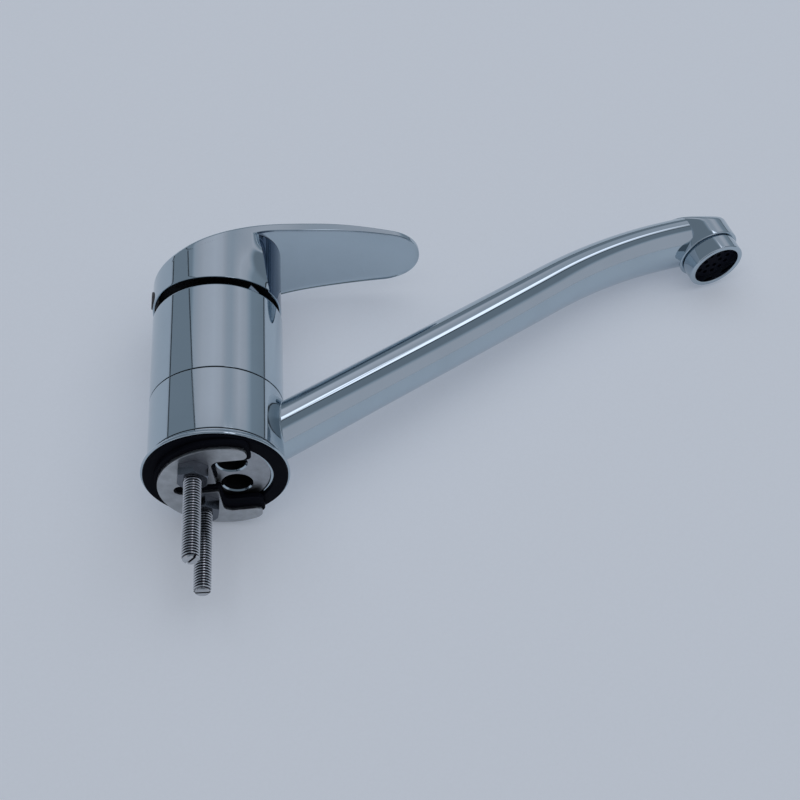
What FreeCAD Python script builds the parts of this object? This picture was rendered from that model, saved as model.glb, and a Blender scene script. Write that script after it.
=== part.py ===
import FreeCAD, Part
import math
import os

# Single-lever kitchen mixer tap. Millimetres, +Z up, origin on the deck in the middle of the base.
# The spout and the lever point along +X. The fixings under the base are turned a little from them.

Vec = FreeCAD.Vector
UP = Vec(0, 0, 1)

# Body and the stem that the spout turns on
body_r = 23.0            # outside of the body, the swivel ring and the lever's skirt
body_bottom = 29.4       # underside of the upper body
body_top = 65.4          # rim under the lever
body_rim_round = 1.0
ring_wall = 4.5          # thickness of the spout's swivel ring
stem_r = body_r - ring_wall   # bearing stem inside the swivel ring
foot_z = 1.2             # underside of the casting, set back from the deck
fit_gap = 0.08           # radial running clearance of the spout on its stem
seat_gap = 0.05          # clearance of pieces that are pushed or screwed together
clear = 60.0             # how far a cutting shape reaches past what it cuts

# Base flange and its deck gasket
flange_r = body_r + 2.0
flange_bottom = 0.9
flange_top = 4.2
flange_lip = 1.1         # height of the straight edge at the flange's foot
gasket_r_out = flange_r - 0.7
gasket_r_in = gasket_r_out - 4.9
gasket_height = 2.0

# Swivel ring, spout tube and outlet
slip_thickness = 0.35    # plain bearing washers above and below the swivel ring
slip_gap = 0.05
slip_r = body_r - 0.4
spout_rise_deg = 35.1    # slope of the straight part of the tube
spout_root_z = 20.3      # height of the tube's middle where it leaves the ring
spout_straight_x = 125.0 # where the bend starts
spout_bend_r = 205.0
spout_turn_deg = 17.2    # how far the bend turns the tube down
tube_start = 14.0        # where the tube starts, inside the ring's bore, along its middle line
tube_root = (10.5, 9.1)  # half width and half height of the tube at its root
tube_middle = (10.0, 8.9)
tube_tip = (11.4, 8.0)
tube_middle_share = 0.6  # where along the straight part the tube has its middle size
tube_wall = 2.0
outlet_tilt_deg = 20.4   # the outlet leans out from straight down
head_r = 12.3
head_crown = (13.4, 8.8)      # half width and height of the arch that caps the head
head_crown_line = (186.5, 118.9)  # X and Z of a point on the middle of that arch
head_crown_deg = 5.2     # slope of the arch
head_round = 1.6
root_round = 1.5         # where the tube leaves the swivel ring
head_bore_depth = 9.0
head_centre = (190.6, 114.6)  # X and Z of the middle of the groove

# Aerator
aerator_r = 11.2
aerator_collar = 6.7     # from the groove to the mouth
aerator_groove = 0.4
aerator_thread_r = 10.4
aerator_mouth_r = 9.2
aerator_inset = 3.0      # the insert sits this far up the mouth
aerator_thread = 5.6
washer_height = 1.6
insert_holes = ((3.2, 6), (6.4, 12))   # radius and count of the two rings of water holes
insert_hole_r = 0.9

# Spout seals and the water ring between them
seal_wire_r = 0.8
seal_z = (9.0, 24.6)
seal_groove = (2.4, 1.75)     # width and depth
water_ring = (12.5, 21.0)     # lowest and highest point
water_ring_depth = 3.0

# Cartridge
cavity_floor = 33.0
cavity_r = 17.6
nut_thread_r = 18.9
cartridge_r = 17.5
cartridge_shoulder = 55.6
neck_r = 13.2
neck_top = 63.0
base_plate_top = 37.5
disc_r = 14.4
fixed_disc_height = 3.5
moving_disc_r = 11.2
moving_disc_height = 3.0
mixing_room = (-7.5, 1.5, 5.5, 1.8)   # back, front, half width and depth of the moving disc's hollow
carrier_height = 5.2
shell_wall = 1.7
port_r = 3.0
port_place = (6.4, 6.05)      # both inlets, in the frame of the fixings
outlet_port_x = -7.6
pivot_z = 60.0
pivot_pin_r = 1.5
rotor_r = 10.8
rotor_bottom = 51.2
rotor_top = 64.2
stem_width = 9.0
stem_depth = 6.6
stem_top = 82.0
ball_r = 2.6
ball_drop = 10.4              # from the pivot down to the ball that drives the discs
lift_deg = 18.0
running = 0.3                 # clearance between inner pieces that move past each other

# Retaining nut and the black cover over it
nut_bottom = cartridge_shoulder + seat_gap
nut_top = 62.6
nut_bore_r = neck_r + 0.3
nut_notch = (2.6, 1.6, 2.0)   # depth, half width and height of the six spanner notches
cover_r = 20.6
cover_height = 0.9
cover_bore_r = 14.2

# Lever
lever_r = body_r + 0.2
lever_low = 67.9         # the skirt's edge at its two sides
lever_high = 70.2        # the skirt's edge at the front and the back
lever_wall = 1.5
lever_bevel = 0.7        # inner relief of the skirt's edge, which clears the body's rim at full lift
lever_roof = 3.4         # thickness over the cavity
lever_cavity = (80.0, 93.0)   # where the cavity starts to draw in, and its highest point
lever_length = 74.8
lever_sides = [(25, 18.4), (40, 16.3), (52, 14.6), (63, 12.8)]  # half widths along the blade
lever_crest = [(-28, 76.5), (-23.2, 81.4), (-17.6, 85.7), (-10.5, 90.8), (0, 96.2), (12, 99.8), (25, 101.9),
               (40, 103.7), (55, 104.5), (68, 104.6), (82, 104.3)]
lever_crown = [(-28, 9.5), (2, 9.5), (12, 8.2), (25, 5.4), (40, 3.3), (60, 1.8), (82, 1.2)]
lever_crown_reach = 26.0
lever_blade = [(8, 92.6), (20, 94.9), (30, 96.8), (40, 98.8), (50, 100.3), (60, 101.3), (82, 102.3)]
front_wall_r = lever_r - 0.6
front_wall_edge = [(17.0, 66.0), (12.2, 96.0)]  # X and Z of the crease where the skirt's front is set back
lever_flare = (71.0, 89.0)   # where the sides start to grow out of the round skirt, and where they are full
lever_flare_r = 27.2
lever_edge_round = 1.2
hub_r = 8.4
hub_bottom = 69.0
screw_z = 74.0
screw_r = 2.5
screw_length = 8.0
key_flats = 2.5          # the screw's hexagon socket
key_depth = 3.0
boss_reach = 12.2        # how far back the screw's boss reaches from the stem's middle
boss_bottom = 71.2
cap_r = 3.2
cap_depth = 2.2
cap_proud = 0.5

# Fixings under the base, in a frame turned by fixing_deg about Z
fixing_deg = -14.0
stud_r = 3.0
stud_place = (-5.7, 10.4)
stud_top = 11.6
stud_tip = -37.5
stud_chamfer = 0.7
stud_hole_top = 12.2
inlet_thread_r = 4.5
inlet_thread_length = 10.0
inlet_mouth_r = 5.6
inlet_mouth_depth = 0.6
rubber_height = 1.6
plate_height = 1.4
plate_r = 22.3
rubber_r = 22.9
plate_centre_x = 2.7
clamp_shift_y = 1.6      # the steel plate hangs off centre by its play on the studs
plate_mouth = (0.4, 15.0)     # where the wide mouth starts, and half its width
plate_mouth_end = 13.0
plate_mouth_round = 3.0
rubber_mouth = (1.2, 11.3)    # the rubber's mouth is narrower, and its ends reach further
rubber_mouth_end = 14.0
rubber_mouth_round = 2.5
plate_slot = (-14.3, 2.5)     # where the narrow slot ends, and half its width
plate_hole = (3.5, 2.2)       # radius of the stud holes, and how far they are drawn out
nut_flats = 10.0
nut_height = 4.5
nut_turn_deg = 30.0


def cylinder(radius, low, high, x=0.0, y=0.0):
    return Part.makeCylinder(radius, high - low, Vec(x, y, low), UP)


def ring(outer, inner, low, high):
    return cylinder(outer, low, high).cut(cylinder(inner, low - 1, high + 1))


def revolved(points):
    """Solid of revolution about Z through (radius, height) points."""
    outline = Part.makePolygon([Vec(r, 0, z) for r, z in points + points[:1]])
    return Part.Face(outline).revolve(Vec(0, 0, 0), UP, 360)


def turned(shape, degrees):
    turned_shape = shape.copy()
    turned_shape.rotate(Vec(0, 0, 0), UP, degrees)
    return turned_shape


def slab(x0, x1, y0, y1, z0, z1):
    return Part.makeBox(x1 - x0, y1 - y0, z1 - z0, Vec(x0, y0, z0))


def fused(shapes):
    return shapes[0].multiFuse(shapes[1:]).removeSplitter()


# The outlet's own frame: its axis points up through the head from the mouth

tilt = math.radians(outlet_tilt_deg)
outlet_axis = Vec(-math.sin(tilt), 0, math.cos(tilt))
groove_centre = Vec(head_centre[0], 0, head_centre[1])
mouth_centre = groove_centre - outlet_axis * aerator_collar


def outlet_cylinder(radius, low, high):
    """Cylinder on the outlet's axis, with its ends measured up from the groove."""
    return Part.makeCylinder(radius, high - low, groove_centre + outlet_axis * low, outlet_axis)


def outlet_ring(outer, inner, low, high):
    return outlet_cylinder(outer, low, high).cut(outlet_cylinder(inner, low - 1, high + 1))


def spout_line(distance):
    """Point and slope of the tube's middle line, at a distance along it from the body's axis."""
    rise = math.radians(spout_rise_deg)
    start_z = spout_root_z - body_r * math.tan(rise)
    straight = straight_length()
    run = min(distance, straight)
    x = run * math.cos(rise)
    z = start_z + run * math.sin(rise)
    slope = rise
    if distance > straight:
        angle = (distance - straight) / spout_bend_r
        slope = rise - angle
        x += spout_bend_r * (math.sin(rise) - math.sin(slope))
        z += spout_bend_r * (math.cos(slope) - math.cos(rise))
    return x, z, slope


def straight_length():
    return spout_straight_x / math.cos(math.radians(spout_rise_deg))


def spout_length():
    return straight_length() + spout_bend_r * math.radians(spout_turn_deg)


def tube_size(distance):
    """Half width and half height of the tube, fullest before the bend."""
    full = straight_length() * tube_middle_share
    if distance < full:
        share = distance / full
        ends = tube_root, tube_middle
    else:
        share = (distance - full) / (spout_length() - full)
        ends = tube_middle, tube_tip
    share = share * share * (3 - 2 * share)
    return [low + (high - low) * share for low, high in zip(*ends)]


def tube_section(distance, inset):
    """Oval wire square to the tube's middle line."""
    x, z, slope = spout_line(distance)
    half_width, half_height = [size - inset for size in tube_size(distance)]
    normal = Vec(math.cos(slope), 0, math.sin(slope))
    upright = Vec(-math.sin(slope), 0, math.cos(slope))
    middle = Vec(x, 0, z)
    if half_width >= half_height:
        oval = Part.Ellipse(middle + Vec(0, half_width, 0), middle + upright * half_height, middle)
    else:
        oval = Part.Ellipse(middle + upright * half_height, middle + Vec(0, half_width, 0), middle)
    return Part.Wire(oval.toShape())


def tube(inset, first, last, stations=12):
    step = (last - first) / (stations - 1)
    return Part.makeLoft([tube_section(first + step * i, inset) for i in range(stations)], True)


# Swivel ring, tube and outlet head, one casting

ring_bottom = flange_top + slip_thickness + slip_gap
ring_top = body_bottom - slip_thickness - slip_gap


def make_head():
    """Outlet head: a cylinder capped by an arch that carries on the line of the tube."""
    half_width, height = head_crown
    slope = math.radians(head_crown_deg)
    along = Vec(math.cos(slope), 0, math.sin(slope))
    upright = Vec(-math.sin(slope), 0, math.cos(slope))
    middle = Vec(head_crown_line[0], 0, head_crown_line[1]) - along * clear / 2
    arch = Part.Ellipse(middle + Vec(0, half_width, 0), middle + upright * height, middle)
    cap = Part.Face(Part.Wire(arch.toShape())).extrude(along * clear)
    below = Part.makeBox(clear, 2 * half_width, clear, middle - Vec(0, half_width, 0), UP)
    below.rotate(middle, Vec(0, 1, 0), -head_crown_deg)
    below.translate(upright * -clear)
    head = outlet_cylinder(head_r, 0, clear).common(fused([cap, below]))
    rim = [edge for edge in head.Edges
           if edge.CenterOfMass.distanceToPoint(groove_centre) > head_r / 2 and edge.Length > head_r]
    return head.makeFillet(head_round, rim)


def make_spout():
    arm = fused([cylinder(body_r, ring_bottom, ring_top), tube(0, tube_start, spout_length())])
    joint = [edge for edge in arm.Edges
             if abs(edge.CenterOfMass.x - body_r) < 2 * ring_wall and edge.Length > 2 * tube_root[1]]
    arm = arm.makeFillet(root_round, joint)
    outer = fused([arm, make_head()])
    below_head = outlet_cylinder(head_r + 0.6, -12, 0)
    beside_body = cylinder(body_r + 0.3, ring_top, ring_top + clear)
    bearing = cylinder(stem_r + fit_gap, ring_bottom - clear, ring_top + 1)
    waterway = tube(tube_wall, tube_start + tube_wall, spout_length() - 1.0)
    aerator_bore = outlet_cylinder(aerator_thread_r + seat_gap, -1, head_bore_depth)
    outer = outer.cut(below_head).cut(beside_body)
    return outer.cut(bearing).cut(waterway).cut(aerator_bore)


# Body casting with the stem, the waterways and the room for the cartridge


def fixing_xy(x, y):
    angle = math.radians(fixing_deg)
    return x * math.cos(angle) - y * math.sin(angle), x * math.sin(angle) + y * math.cos(angle)


inlet_places = [fixing_xy(port_place[0], side * port_place[1]) for side in (-1, 1)]
stud_places = [fixing_xy(stud_place[0], side * stud_place[1]) for side in (-1, 1)]
outlet_place = fixing_xy(outlet_port_x, 0)


def make_body():
    r = body_rim_round
    upper = cylinder(body_r, body_bottom, body_top)
    rims = [edge for edge in upper.Edges if edge.Length > body_r and len(edge.Vertexes) == 1]
    upper = upper.makeFillet(r, [edge for edge in rims if edge.CenterOfMass.z > body_top - 1])
    body = fused([upper, cylinder(stem_r, foot_z, body_bottom + 1)])
    body = body.cut(cylinder(cavity_r, cavity_floor, body_top + 1))
    body = body.cut(cylinder(nut_thread_r, cartridge_shoulder, body_top + 1))
    width, depth = seal_groove
    for z in seal_z:
        body = body.cut(ring(stem_r + 1, stem_r - depth, z - width / 2, z + width / 2))
    body = body.cut(ring(stem_r + 1, stem_r - water_ring_depth, *water_ring))
    for x, y in inlet_places:
        body = body.cut(cylinder(port_r, foot_z, cavity_floor + 1, x, y))
        body = body.cut(cylinder(inlet_thread_r, foot_z - 1, foot_z + inlet_thread_length, x, y))
        mouth = Part.makeCone(inlet_mouth_r, inlet_thread_r, inlet_mouth_depth, Vec(x, y, foot_z), UP)
        body = body.cut(mouth)
    for x, y in stud_places:
        body = body.cut(cylinder(stud_r, foot_z - 1, stud_hole_top, x, y))
    middle = sum(water_ring) / 2
    x, y = outlet_place
    body = body.cut(cylinder(port_r, middle, cavity_floor + 1, x, y))
    sideways = Part.makeCylinder(port_r, stem_r, Vec(x, y, middle), Vec(x, y, 0))
    return body.cut(sideways)


def make_flange():
    inner = stem_r + seat_gap
    outline = [(inner, flange_bottom), (flange_r, flange_bottom), (flange_r, flange_bottom + flange_lip),
               (body_r + 0.9, flange_top - 1.0), (body_r, flange_top - 0.9), (body_r, flange_top),
               (inner, flange_top)]
    groove = ring(gasket_r_out + seat_gap, gasket_r_in - seat_gap, flange_bottom - 1, gasket_height)
    return revolved(outline).cut(groove)


def make_seal(middle_z):
    return Part.makeTorus(stem_r - 0.05 - seal_wire_r, seal_wire_r, Vec(0, 0, middle_z), UP)


# Cartridge, from its base plate up to the retaining nut

fixed_disc_top = base_plate_top + fixed_disc_height
moving_disc_top = fixed_disc_top + seat_gap + moving_disc_height
carrier_top = moving_disc_top + carrier_height


def bored(shape, radius, low, high):
    for x, y in inlet_places + [outlet_place]:
        shape = shape.cut(cylinder(radius, low, high, x, y))
    return shape


def make_cartridge_base():
    plate = cylinder(cartridge_r, cavity_floor + seat_gap, base_plate_top - 1)
    step = cylinder(disc_r + 0.6, base_plate_top - 2, base_plate_top)
    plate = bored(fused([plate, step]), port_r - 0.4, cavity_floor - 1, base_plate_top + 1)
    return bored(plate, port_r + 1.2, cavity_floor - 1, cavity_floor + 1.4)


def make_port_seals():
    seals = []
    for x, y in inlet_places + [outlet_place]:
        outer = cylinder(port_r + 1.1, cavity_floor, cavity_floor + 1.35, x, y)
        seals.append(outer.cut(cylinder(port_r - 0.2, cavity_floor - 1, cavity_floor + 3, x, y)))
    return Part.makeCompound(seals)


def make_fixed_disc():
    disc = cylinder(disc_r, base_plate_top, fixed_disc_top)
    return bored(disc, port_r - 0.6, base_plate_top - 1, fixed_disc_top + 1)


def make_moving_disc():
    disc = cylinder(moving_disc_r, fixed_disc_top + seat_gap, moving_disc_top)
    back, front, half_width, depth = mixing_room
    mixing_hollow = slab(back, front, -half_width, half_width, fixed_disc_top, fixed_disc_top + depth)
    return disc.cut(mixing_hollow)


def make_carrier():
    carrier = cylinder(moving_disc_r, moving_disc_top, carrier_top)
    ball_z = pivot_z - ball_drop
    socket = slab(-ball_r - running, ball_r + running, -ball_r - running, ball_r + running,
                  ball_z - ball_r - 0.6, carrier_top + 1)
    return carrier.cut(socket)


def make_cartridge_shell():
    low = base_plate_top - 1
    roof = cartridge_shoulder - shell_wall
    outline = [(cartridge_r, low), (cartridge_r, cartridge_shoulder), (neck_r, cartridge_shoulder),
               (neck_r, neck_top), (rotor_r + running, neck_top), (rotor_r + running, roof),
               (cartridge_r - shell_wall, roof), (cartridge_r - shell_wall, low)]
    return revolved(outline)


def make_rotor():
    collar_r = cartridge_r - shell_wall - running
    rotor = fused([cylinder(rotor_r, rotor_bottom, rotor_top),
                   cylinder(collar_r, rotor_bottom, cartridge_shoulder - shell_wall - running)])
    half_y = stem_width / 2 + running
    swing = math.radians(lift_deg)
    room = stem_depth / 2 + 0.6
    high = rotor_top - pivot_z
    low = pivot_z - rotor_bottom
    slot = [Vec(-room - high * math.tan(swing), -half_y, rotor_top + 1),
            Vec(room + 0.6, -half_y, rotor_top + 1),
            Vec(room + 0.6, -half_y, pivot_z),
            Vec(room + low * math.tan(swing), -half_y, rotor_bottom - 1),
            Vec(-room, -half_y, rotor_bottom - 1),
            Vec(-room, -half_y, pivot_z)]
    opening = Part.Face(Part.makePolygon(slot + slot[:1])).extrude(Vec(0, 2 * half_y, 0))
    pin_hole = Part.makeCylinder(pivot_pin_r + 0.02, 2 * rotor_r, Vec(0, -rotor_r, pivot_z), Vec(0, 1, 0))
    return rotor.cut(opening).cut(pin_hole)


def make_pivot_pin():
    half = math.sqrt(rotor_r ** 2 - pivot_pin_r ** 2) - 0.2
    return Part.makeCylinder(pivot_pin_r, 2 * half, Vec(0, -half, pivot_z), Vec(0, 1, 0))


def make_stem():
    shank = slab(-stem_depth / 2, stem_depth / 2, -stem_width / 2, stem_width / 2, pivot_z - 4, stem_top)
    neck = cylinder(ball_r * 0.75, pivot_z - ball_drop, pivot_z - 3)
    ball = Part.makeSphere(ball_r, Vec(0, 0, pivot_z - ball_drop))
    pin_start = Vec(0, -stem_width, pivot_z)
    pin_hole = Part.makeCylinder(pivot_pin_r + seat_gap, 2 * stem_width, pin_start, Vec(0, 1, 0))
    return fused([shank, neck, ball]).cut(pin_hole)


def make_retaining_nut():
    nut = ring(nut_thread_r - seat_gap, nut_bore_r, nut_bottom, nut_top)
    depth, half_width, height = nut_notch
    for step in range(6):
        notch = slab(nut_thread_r - depth, nut_thread_r + 1, -half_width, half_width,
                     nut_top - height, nut_top + 1)
        nut = nut.cut(turned(notch, 60 * step))
    return nut


def make_nut_cover():
    seat = nut_top
    lap = body_top + seat_gap
    outline = [(cover_bore_r, seat), (nut_thread_r - 0.2, seat), (nut_thread_r - 0.2, lap), (cover_r, lap),
               (cover_r, lap + 0.5), (cover_bore_r + 2.5, lap + cover_height),
               (cover_bore_r, lap + cover_height)]
    return revolved(outline)


# Lever: a skirt over the cartridge that runs out into a flat blade


def smooth(points, x):
    """Height at x of the smooth line through the points."""
    line = Part.BSplineCurve()
    line.interpolate([Vec(px, 0, pz) for px, pz in points])
    low, high = line.FirstParameter, line.LastParameter
    for _ in range(40):
        middle = (low + high) / 2
        if line.value(middle).x < x:
            low = middle
        else:
            high = middle
    return line.value(low).z


def top_section(x, drop):
    """Wire across the lever at x, flat below and arched above, lowered by drop."""
    reach = lever_crown_reach
    z = smooth(lever_crest, x) - drop
    crown = smooth(lever_crown, x)
    left, crest, right = Vec(x, -reach, z - crown), Vec(x, 0, z), Vec(x, reach, z - crown)
    arch = Part.Arc(left, crest, right).toShape()
    foot = body_bottom
    sides = Part.makePolygon([right, Vec(x, reach, foot), Vec(x, -reach, foot), left])
    return Part.Wire([arch] + sides.Edges)


def under_top(drop):
    """Everything under the lever's top, or under a copy of it lowered by drop."""
    first, last = lever_crest[0][0], lever_crest[-1][0]
    stations = 23
    step = (last - first) / (stations - 1)
    return Part.makeLoft([top_section(first + step * i, drop) for i in range(stations)], True)


def plan_outline():
    """Skirt circle with the blade's tapering sides and round tip."""
    leave_x = 3.0
    start = Vec(leave_x, -math.sqrt(lever_r ** 2 - leave_x ** 2), 0)
    points = [start] + [Vec(x, -half_width, 0) for x, half_width in lever_sides]
    side = Part.BSplineCurve()
    taper = (lever_sides[-1][1] - lever_sides[-2][1]) / (lever_sides[-1][0] - lever_sides[-2][0])
    side.interpolate(points, InitialTangent=Vec(1, leave_x / -start.y, 0), FinalTangent=Vec(1, -taper, 0))
    end_x, end_half = lever_sides[-1]
    tip = Part.BezierCurve()
    tip.setPoles([Vec(end_x, -end_half, 0), Vec(end_x + 6.5, -end_half - taper * 6.5, 0),
                  Vec(lever_length, -7.0, 0), Vec(lever_length, 0, 0)])
    half = [side.toShape(), tip.toShape()]
    mirrored = [edge.mirror(Vec(0, 0, 0), Vec(0, 1, 0)) for edge in half]
    back = Part.Arc(Vec(start.x, -start.y, 0), Vec(-lever_r, 0, 0), start).toShape()
    return Part.Wire(Part.__sortEdges__(half + mirrored + [back]))


def make_lever():
    low = body_top - 1
    plan = Part.Face(plan_outline()).extrude(Vec(0, 0, clear))
    plan.translate(Vec(0, 0, low))
    lever = plan.common(under_top(0))
    rim = [edge for edge in lever.Edges if edge.BoundBox.ZMin > low + 10 and edge.Length > 5]
    lever = lever.makeFillet(lever_edge_round, rim)

    under_line = Part.BSplineCurve()
    under_line.interpolate([Vec(x, -clear, z) for x, z in lever_blade])
    first, last = [Vec(x, -clear, z) for x, z in (lever_blade[0], lever_blade[-1])]
    below = Part.makePolygon([last, Vec(last.x, -clear, low - 2), Vec(first.x, -clear, low - 2), first])
    across = Vec(0, 2 * clear, 0)
    under_blade = Part.Face(Part.Wire([under_line.toShape()] + below.Edges)).extrude(across)
    (foot_x, foot), (head_x, head) = front_wall_edge
    far = lever_length + clear
    corners = [(foot_x, foot - 4), (far, foot - 4), (far, head + clear), (head_x, head + clear),
               (head_x, head), (foot_x, foot), (foot_x, foot - 4)]
    front = Part.Face(Part.makePolygon([Vec(x, -clear, z) for x, z in corners])).extrude(across)
    keep = cylinder(front_wall_r, low - 5, body_top + clear)
    lever = lever.cut(under_blade.cut(keep).common(front))

    arc_points = [(-lever_r, lever_high), (0, lever_low), (lever_r, lever_high)]
    side_arc = Part.Arc(*[Vec(x, -clear, z) for x, z in arc_points])
    corners = [(lever_r, lever_high), (far, lever_high), (far, low - 5), (-lever_r - 5, low - 5),
               (-lever_r - 5, lever_high), (-lever_r, lever_high)]
    past = Part.makePolygon([Vec(x, -clear, z) for x, z in corners])
    lever = lever.cut(Part.Face(Part.Wire([side_arc.toShape()] + past.Edges)).extrude(across))

    flare_low, flare_high = lever_flare
    lever = lever.cut(revolved([(lever_r, low - 5), (lever_r, flare_low), (lever_flare_r, flare_high),
                                (lever_flare_r + clear, flare_high), (lever_flare_r + clear, low - 5)]))

    inner = lever_r - lever_wall
    shoulder, ceiling = lever_cavity
    cavity = revolved([(0, low), (inner + lever_bevel, low), (inner + lever_bevel, lever_low + 0.6),
                       (inner, lever_low + 1.9), (inner, shoulder), (10, ceiling), (0, ceiling)])
    cavity = cavity.common(under_top(lever_roof))
    cavity = cavity.cut(cylinder(hub_r, hub_bottom, ceiling + 10))
    lever = lever.cut(cavity)
    socket = slab(-stem_depth / 2 - seat_gap, stem_depth / 2 + seat_gap, -stem_width / 2 - seat_gap,
                  stem_width / 2 + seat_gap, low, stem_top + 0.4)
    lever = lever.cut(socket)
    backwards = Vec(-1, 0, 0)
    boss = Part.makeCylinder(screw_r + 1.9, boss_reach - 3.6, Vec(-3.6, 0, screw_z), backwards)
    boss = boss.cut(cylinder(lever_r, low, boss_bottom))
    lever = lever.fuse(boss.cut(socket)).removeSplitter()
    screw_hole = Part.makeCylinder(screw_r + 0.02, 2 * lever_r, Vec(-1, 0, screw_z), backwards)
    cap_hole = Part.makeCylinder(cap_r + 0.02, 10, Vec(-lever_r + cap_depth, 0, screw_z), backwards)
    return lever.cut(screw_hole).cut(cap_hole)


def make_handle_screw():
    tip_x = -stem_depth / 2 - seat_gap
    screw = Part.makeCylinder(screw_r, screw_length, Vec(tip_x, 0, screw_z), Vec(-1, 0, 0))
    corner_r = key_flats / math.sqrt(3)
    corners = [Vec(tip_x - screw_length - 1, corner_r * math.cos(math.radians(60 * i)),
                   screw_z + corner_r * math.sin(math.radians(60 * i))) for i in range(7)]
    return screw.cut(Part.Face(Part.makePolygon(corners)).extrude(Vec(1 + key_depth, 0, 0)))


def make_screw_cap():
    inner_end = Vec(-lever_r + cap_depth - 0.1, 0, screw_z)
    cap = Part.makeCylinder(cap_r, cap_depth + cap_proud - 0.1, inner_end, Vec(-1, 0, 0))
    outer = [edge for edge in cap.Edges if edge.CenterOfMass.x < -lever_r and len(edge.Vertexes) == 1]
    return cap.makeFillet(0.35, outer)


# Aerator pieces in the outlet


def make_aerator_housing():
    collar = outlet_ring(aerator_r, aerator_mouth_r, -aerator_collar, -aerator_groove)
    thread = outlet_ring(aerator_thread_r, aerator_mouth_r, -aerator_groove - 1, aerator_thread)
    return fused([collar, thread])


def make_aerator_insert():
    low = -aerator_collar + aerator_inset
    body = outlet_cylinder(aerator_mouth_r - seat_gap, low, aerator_thread - 0.4)
    for ring_index, (radius, count) in enumerate(insert_holes):
        for i in range(count):
            angle = 2 * math.pi * (i + 0.5 * ring_index) / count
            across = Vec(math.cos(tilt), 0, math.sin(tilt)) * math.cos(angle) + Vec(0, math.sin(angle), 0)
            start = groove_centre + outlet_axis * (low - 1) + across * radius
            body = body.cut(Part.makeCylinder(insert_hole_r, aerator_thread - low + 2, start, outlet_axis))
    return body


def make_aerator_washer():
    low = aerator_thread + seat_gap
    return outlet_ring(aerator_thread_r - 0.1, aerator_mouth_r - 1.2, low, low + washer_height)


# Fixings under the base: rubber and steel horseshoes, studs and nuts


def horseshoe(radius, low, high, mouth, mouth_end, mouth_round, shift_y):
    mouth_x, mouth_half = mouth
    slot_end, slot_half = plate_slot
    outer = cylinder(radius, low, high, plate_centre_x, 0)
    span = (low - 1, high + 1)
    mouth = slab(mouth_x, radius + clear, -mouth_half, mouth_half, *span)
    uprights = [edge for edge in mouth.Edges
                if edge.BoundBox.ZLength > high - low and edge.CenterOfMass.x < mouth_x + 1]
    mouth = mouth.makeFillet(mouth_round, uprights)
    slot = fused([cylinder(slot_half, *span, slot_end + slot_half, 0),
                  slab(slot_end + slot_half, mouth_x + 5, -slot_half, slot_half, *span)])
    plate = outer.cut(mouth).cut(slot)
    plate = plate.common(slab(-clear, mouth_end, -clear, clear, low, high))
    hole_r, draw = plate_hole
    hole_x = stud_place[0]
    for side in (-1, 1):
        middle = side * stud_place[1]
        near, far = middle - draw, middle + draw
        hole = fused([slab(hole_x - hole_r, hole_x + hole_r, near, far, *span),
                      cylinder(hole_r, *span, hole_x, near), cylinder(hole_r, *span, hole_x, far)])
        plate = plate.cut(hole)
    plate.translate(Vec(0, shift_y, 0))
    return turned(plate, fixing_deg)


rubber_bottom = -seat_gap - rubber_height
plate_bottom = rubber_bottom - plate_height
nut_low = plate_bottom - nut_height


def make_studs():
    studs = []
    for x, y in stud_places:
        stud = cylinder(stud_r - 0.02, stud_tip, stud_top, x, y)
        studs.append(stud.makeChamfer(stud_chamfer, [edge for edge in stud.Edges if len(edge.Vertexes) == 1]))
    return Part.makeCompound(studs)


def make_stud_nuts():
    nuts = []
    corner_r = nut_flats / math.sqrt(3)
    for x, y in stud_places:
        corners = [Vec(x + corner_r * math.cos(math.radians(60 * i + nut_turn_deg)),
                       y + corner_r * math.sin(math.radians(60 * i + nut_turn_deg)), nut_low)
                   for i in range(7)]
        blank = Part.Face(Part.makePolygon(corners)).extrude(Vec(0, 0, nut_height))
        crown = Part.makeCone(nut_flats / 2 + 0.1, corner_r + 0.5, nut_height * 0.16, Vec(x, y, nut_low), UP)
        middle = cylinder(corner_r + 0.5, nut_low + nut_height * 0.16, plate_bottom, x, y)
        nut = blank.common(fused([crown, middle]))
        nuts.append(nut.cut(cylinder(stud_r, nut_low - 1, plate_bottom + 1, x, y)))
    return Part.makeCompound(nuts)


pieces = {
    "body_casting": make_body,
    "base_flange": make_flange,
    "base_gasket": lambda: ring(gasket_r_out, gasket_r_in, 0, gasket_height - seat_gap),
    "lower_slip_ring": lambda: ring(slip_r, stem_r + fit_gap, flange_top, flange_top + slip_thickness),
    "upper_slip_ring": lambda: ring(slip_r, stem_r + fit_gap, body_bottom - slip_thickness, body_bottom),
    "lower_spout_seal": lambda: make_seal(seal_z[0]),
    "upper_spout_seal": lambda: make_seal(seal_z[1]),
    "spout_casting": make_spout,
    "aerator_housing": make_aerator_housing,
    "aerator_insert": make_aerator_insert,
    "aerator_washer": make_aerator_washer,
    "cartridge_base": make_cartridge_base,
    "port_seals": make_port_seals,
    "fixed_disc": make_fixed_disc,
    "moving_disc": make_moving_disc,
    "disc_carrier": make_carrier,
    "cartridge_shell": make_cartridge_shell,
    "cartridge_rotor": make_rotor,
    "pivot_pin": make_pivot_pin,
    "cartridge_stem": make_stem,
    "retaining_nut": make_retaining_nut,
    "nut_cover": make_nut_cover,
    "lever_handle": make_lever,
    "handle_screw": make_handle_screw,
    "screw_cap": make_screw_cap,
    "rubber_horseshoe": lambda: horseshoe(rubber_r, rubber_bottom, -seat_gap, rubber_mouth,
                                          rubber_mouth_end, rubber_mouth_round, 0),
    "steel_horseshoe": lambda: horseshoe(plate_r, plate_bottom, rubber_bottom, plate_mouth,
                                         plate_mouth_end, plate_mouth_round, clamp_shift_y),
    "mounting_studs": make_studs,
    "stud_nuts": make_stud_nuts,
}

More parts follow.
